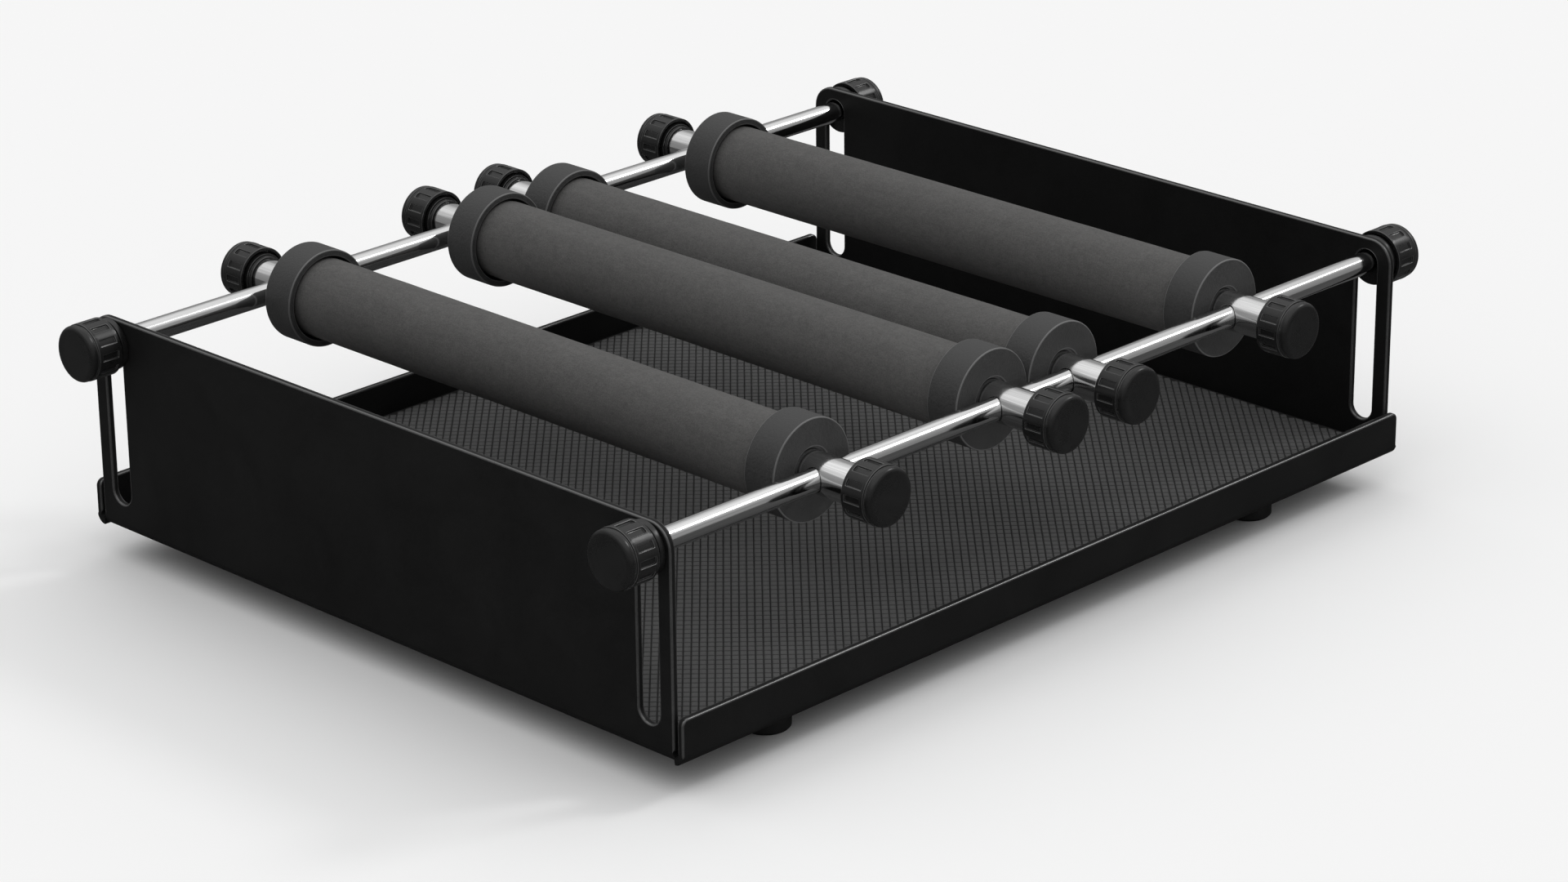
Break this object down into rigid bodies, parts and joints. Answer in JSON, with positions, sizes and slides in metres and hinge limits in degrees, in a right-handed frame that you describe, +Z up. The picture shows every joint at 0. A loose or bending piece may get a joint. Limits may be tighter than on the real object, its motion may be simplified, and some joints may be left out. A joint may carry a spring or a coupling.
{
  "type": "vessel tray of an orbital shaker",
  "caption": "Folded sheet tray with a ribbed mat, height-adjustable chrome rods and sliding foam clamp rollers that knobs lock.",
  "frame": {"origin": "on the standing surface, under the middle of the tray", "axes": "+Z up, +X to the right along the rods, +Y to the rear along the rollers"},
  "size_m": [0.316, 0.2566, 0.0802],
  "materials": {
    "tray_sheet": "satin black powder coat",
    "mat_rubber": "matte ribbed rubber",
    "foot_rubber": "matte rubber",
    "zinc_steel": "bright zinc",
    "chrome": "polished",
    "foam": "fine-grained foam rubber",
    "cap_rubber": "fine-grained rubber",
    "knob_plastic": "glossy black",
    "pad_plastic": "natural nylon"
  },
  "bodies": {
    "tray": {"tray": "tray_sheet", "floor_mat": "mat_rubber", "foot_screws": "zinc_steel", "foot_nuts": "zinc_steel", "table_nuts": "zinc_steel", "foot_front_left": "foot_rubber", "foot_rear_left": "foot_rubber", "foot_front_right": "foot_rubber", "foot_rear_right": "foot_rubber"},
    "front_rod": {"front_rod": "chrome"},
    "rear_rod": {"rear_rod": "chrome"},
    "roller_1": {"roller_tube_1": "chrome", "roller_foam_1": "foam", "tube_plugs_1": "zinc_steel", "end_cap_1_front": "cap_rubber", "end_cap_1_rear": "cap_rubber"},
    "pressure_pad_1_front": {"pressure_pad_1_front": "pad_plastic"},
    "roller_knob_1_front": {"roller_knob_1_front": "knob_plastic"},
    "pressure_pad_1_rear": {"pressure_pad_1_rear": "pad_plastic"},
    "roller_knob_1_rear": {"roller_knob_1_rear": "knob_plastic"},
    "roller_2": {"roller_tube_2": "chrome", "roller_foam_2": "foam", "tube_plugs_2": "zinc_steel", "end_cap_2_front": "cap_rubber", "end_cap_2_rear": "cap_rubber"},
    "pressure_pad_2_front": {"pressure_pad_2_front": "pad_plastic"},
    "roller_knob_2_front": {"roller_knob_2_front": "knob_plastic"},
    "pressure_pad_2_rear": {"pressure_pad_2_rear": "pad_plastic"},
    "roller_knob_2_rear": {"roller_knob_2_rear": "knob_plastic"},
    "roller_3": {"roller_tube_3": "chrome", "roller_foam_3": "foam", "tube_plugs_3": "zinc_steel", "end_cap_3_front": "cap_rubber", "end_cap_3_rear": "cap_rubber"},
    "pressure_pad_3_front": {"pressure_pad_3_front": "pad_plastic"},
    "roller_knob_3_front": {"roller_knob_3_front": "knob_plastic"},
    "pressure_pad_3_rear": {"pressure_pad_3_rear": "pad_plastic"},
    "roller_knob_3_rear": {"roller_knob_3_rear": "knob_plastic"},
    "roller_4": {"roller_tube_4": "chrome", "roller_foam_4": "foam", "tube_plugs_4": "zinc_steel", "end_cap_4_front": "cap_rubber", "end_cap_4_rear": "cap_rubber"},
    "pressure_pad_4_front": {"pressure_pad_4_front": "pad_plastic"},
    "roller_knob_4_front": {"roller_knob_4_front": "knob_plastic"},
    "pressure_pad_4_rear": {"pressure_pad_4_rear": "pad_plastic"},
    "roller_knob_4_rear": {"roller_knob_4_rear": "knob_plastic"},
    "rod_collar_front_left": {"rod_collar_front_left": "knob_plastic"},
    "rod_knob_front_left": {"rod_knob_front_left": "knob_plastic"},
    "rod_collar_front_right": {"rod_collar_front_right": "knob_plastic"},
    "rod_knob_front_right": {"rod_knob_front_right": "knob_plastic"},
    "rod_collar_rear_left": {"rod_collar_rear_left": "knob_plastic"},
    "rod_knob_rear_left": {"rod_knob_rear_left": "knob_plastic"},
    "rod_collar_rear_right": {"rod_collar_rear_right": "knob_plastic"},
    "rod_knob_rear_right": {"rod_knob_rear_right": "knob_plastic"}
  },
  "joints": [
    {"name": "front_rod_height", "type": "slide", "parent": "tray", "child": "front_rod", "axis": [0, 0, 1], "range_m": [-0.037, 0]},
    {"name": "rear_rod_height", "type": "slide", "parent": "tray", "child": "rear_rod", "axis": [0, 0, 1], "range_m": [-0.037, 0]},
    {"name": "roller_1_slide", "type": "slide", "parent": "front_rod", "child": "roller_1", "axis": [1, 0, 0], "range_m": [-0.0475, 0.0142]},
    {"name": "pressure_pad_1_front_slide", "type": "slide", "parent": "roller_1", "child": "pressure_pad_1_front", "axis": [0, -1, 0], "range_m": [0, 0.0014]},
    {"name": "roller_knob_1_front_turn", "type": "hinge", "parent": "pressure_pad_1_front", "child": "roller_knob_1_front", "pos_m": [-0.0807, -0.1183, 0.0661], "axis": [0, -1, 0], "range_deg": [0, 720]},
    {"name": "pressure_pad_1_rear_slide", "type": "slide", "parent": "roller_1", "child": "pressure_pad_1_rear", "axis": [0, 1, 0], "range_m": [0, 0.0014]},
    {"name": "roller_knob_1_rear_turn", "type": "hinge", "parent": "pressure_pad_1_rear", "child": "roller_knob_1_rear", "pos_m": [-0.0807, 0.1183, 0.0661], "axis": [0, 1, 0], "range_deg": [0, 720]},
    {"name": "roller_2_slide", "type": "slide", "parent": "front_rod", "child": "roller_2", "axis": [1, 0, 0], "range_m": [-0.0262, 0.0001]},
    {"name": "pressure_pad_2_front_slide", "type": "slide", "parent": "roller_2", "child": "pressure_pad_2_front", "axis": [0, -1, 0], "range_m": [0, 0.0014]},
    {"name": "roller_knob_2_front_turn", "type": "hinge", "parent": "pressure_pad_2_front", "child": "roller_knob_2_front", "pos_m": [-0.0118, -0.1183, 0.0661], "axis": [0, -1, 0], "range_deg": [0, 720]},
    {"name": "pressure_pad_2_rear_slide", "type": "slide", "parent": "roller_2", "child": "pressure_pad_2_rear", "axis": [0, 1, 0], "range_m": [0, 0.0014]},
    {"name": "roller_knob_2_rear_turn", "type": "hinge", "parent": "pressure_pad_2_rear", "child": "roller_knob_2_rear", "pos_m": [-0.0118, 0.1183, 0.0661], "axis": [0, 1, 0], "range_deg": [0, 720]},
    {"name": "roller_3_slide", "type": "slide", "parent": "front_rod", "child": "roller_3", "axis": [1, 0, 0], "range_m": [-0.0001, 0.0258]},
    {"name": "pressure_pad_3_front_slide", "type": "slide", "parent": "roller_3", "child": "pressure_pad_3_front", "axis": [0, -1, 0], "range_m": [0, 0.0014]},
    {"name": "roller_knob_3_front_turn", "type": "hinge", "parent": "pressure_pad_3_front", "child": "roller_knob_3_front", "pos_m": [0.017, -0.1183, 0.0661], "axis": [0, -1, 0], "range_deg": [0, 720]},
    {"name": "pressure_pad_3_rear_slide", "type": "slide", "parent": "roller_3", "child": "pressure_pad_3_rear", "axis": [0, 1, 0], "range_m": [0, 0.0014]},
    {"name": "roller_knob_3_rear_turn", "type": "hinge", "parent": "pressure_pad_3_rear", "child": "roller_knob_3_rear", "pos_m": [0.017, 0.1183, 0.0661], "axis": [0, 1, 0], "range_deg": [0, 720]},
    {"name": "roller_4_slide", "type": "slide", "parent": "front_rod", "child": "roller_4", "axis": [1, 0, 0], "range_m": [-0.0138, 0.043]},
    {"name": "pressure_pad_4_front_slide", "type": "slide", "parent": "roller_4", "child": "pressure_pad_4_front", "axis": [0, -1, 0], "range_m": [0, 0.0014]},
    {"name": "roller_knob_4_front_turn", "type": "hinge", "parent": "pressure_pad_4_front", "child": "roller_knob_4_front", "pos_m": [0.0853, -0.1183, 0.0661], "axis": [0, -1, 0], "range_deg": [0, 720]},
    {"name": "pressure_pad_4_rear_slide", "type": "slide", "parent": "roller_4", "child": "pressure_pad_4_rear", "axis": [0, 1, 0], "range_m": [0, 0.0014]},
    {"name": "roller_knob_4_rear_turn", "type": "hinge", "parent": "pressure_pad_4_rear", "child": "roller_knob_4_rear", "pos_m": [0.0853, 0.1183, 0.0661], "axis": [0, 1, 0], "range_deg": [0, 720]},
    {"name": "rod_collar_front_left_slide", "type": "slide", "parent": "front_rod", "child": "rod_collar_front_left", "axis": [-1, 0, 0], "range_m": [0, 0.0014]},
    {"name": "rod_knob_front_left_turn", "type": "hinge", "parent": "rod_collar_front_left", "child": "rod_knob_front_left", "pos_m": [-0.147, -0.1056, 0.0661], "axis": [-1, 0, 0], "range_deg": [0, 720]},
    {"name": "rod_collar_front_right_slide", "type": "slide", "parent": "front_rod", "child": "rod_collar_front_right", "axis": [1, 0, 0], "range_m": [0, 0.0014]},
    {"name": "rod_knob_front_right_turn", "type": "hinge", "parent": "rod_collar_front_right", "child": "rod_knob_front_right", "pos_m": [0.147, -0.1056, 0.0661], "axis": [1, 0, 0], "range_deg": [0, 720]},
    {"name": "rod_collar_rear_left_slide", "type": "slide", "parent": "rear_rod", "child": "rod_collar_rear_left", "axis": [-1, 0, 0], "range_m": [0, 0.0014]},
    {"name": "rod_knob_rear_left_turn", "type": "hinge", "parent": "rod_collar_rear_left", "child": "rod_knob_rear_left", "pos_m": [-0.147, 0.1056, 0.0661], "axis": [-1, 0, 0], "range_deg": [0, 720]},
    {"name": "rod_collar_rear_right_slide", "type": "slide", "parent": "rear_rod", "child": "rod_collar_rear_right", "axis": [1, 0, 0], "range_m": [0, 0.0014]},
    {"name": "rod_knob_rear_right_turn", "type": "hinge", "parent": "rod_collar_rear_right", "child": "rod_knob_rear_right", "pos_m": [0.147, 0.1056, 0.0661], "axis": [1, 0, 0], "range_deg": [0, 720]}
  ],
  "couplings": [
    {"joint": "rear_rod_height", "follows": "front_rod_height", "ratio": 1},
    {"joint": "roller_knob_1_front_turn", "follows": "pressure_pad_1_front_slide", "rad_per_m": 8976},
    {"joint": "roller_knob_1_rear_turn", "follows": "pressure_pad_1_rear_slide", "rad_per_m": 8976},
    {"joint": "roller_knob_2_front_turn", "follows": "pressure_pad_2_front_slide", "rad_per_m": 8976},
    {"joint": "roller_knob_2_rear_turn", "follows": "pressure_pad_2_rear_slide", "rad_per_m": 8976},
    {"joint": "roller_knob_3_front_turn", "follows": "pressure_pad_3_front_slide", "rad_per_m": 8976},
    {"joint": "roller_knob_3_rear_turn", "follows": "pressure_pad_3_rear_slide", "rad_per_m": 8976},
    {"joint": "roller_knob_4_front_turn", "follows": "pressure_pad_4_front_slide", "rad_per_m": 8976},
    {"joint": "roller_knob_4_rear_turn", "follows": "pressure_pad_4_rear_slide", "rad_per_m": 8976},
    {"joint": "rod_knob_front_left_turn", "follows": "rod_collar_front_left_slide", "rad_per_m": 8976},
    {"joint": "rod_knob_front_right_turn", "follows": "rod_collar_front_right_slide", "rad_per_m": 8976},
    {"joint": "rod_knob_rear_left_turn", "follows": "rod_collar_rear_left_slide", "rad_per_m": 8976},
    {"joint": "rod_knob_rear_right_turn", "follows": "rod_collar_rear_right_slide", "rad_per_m": 8976}
  ]
}
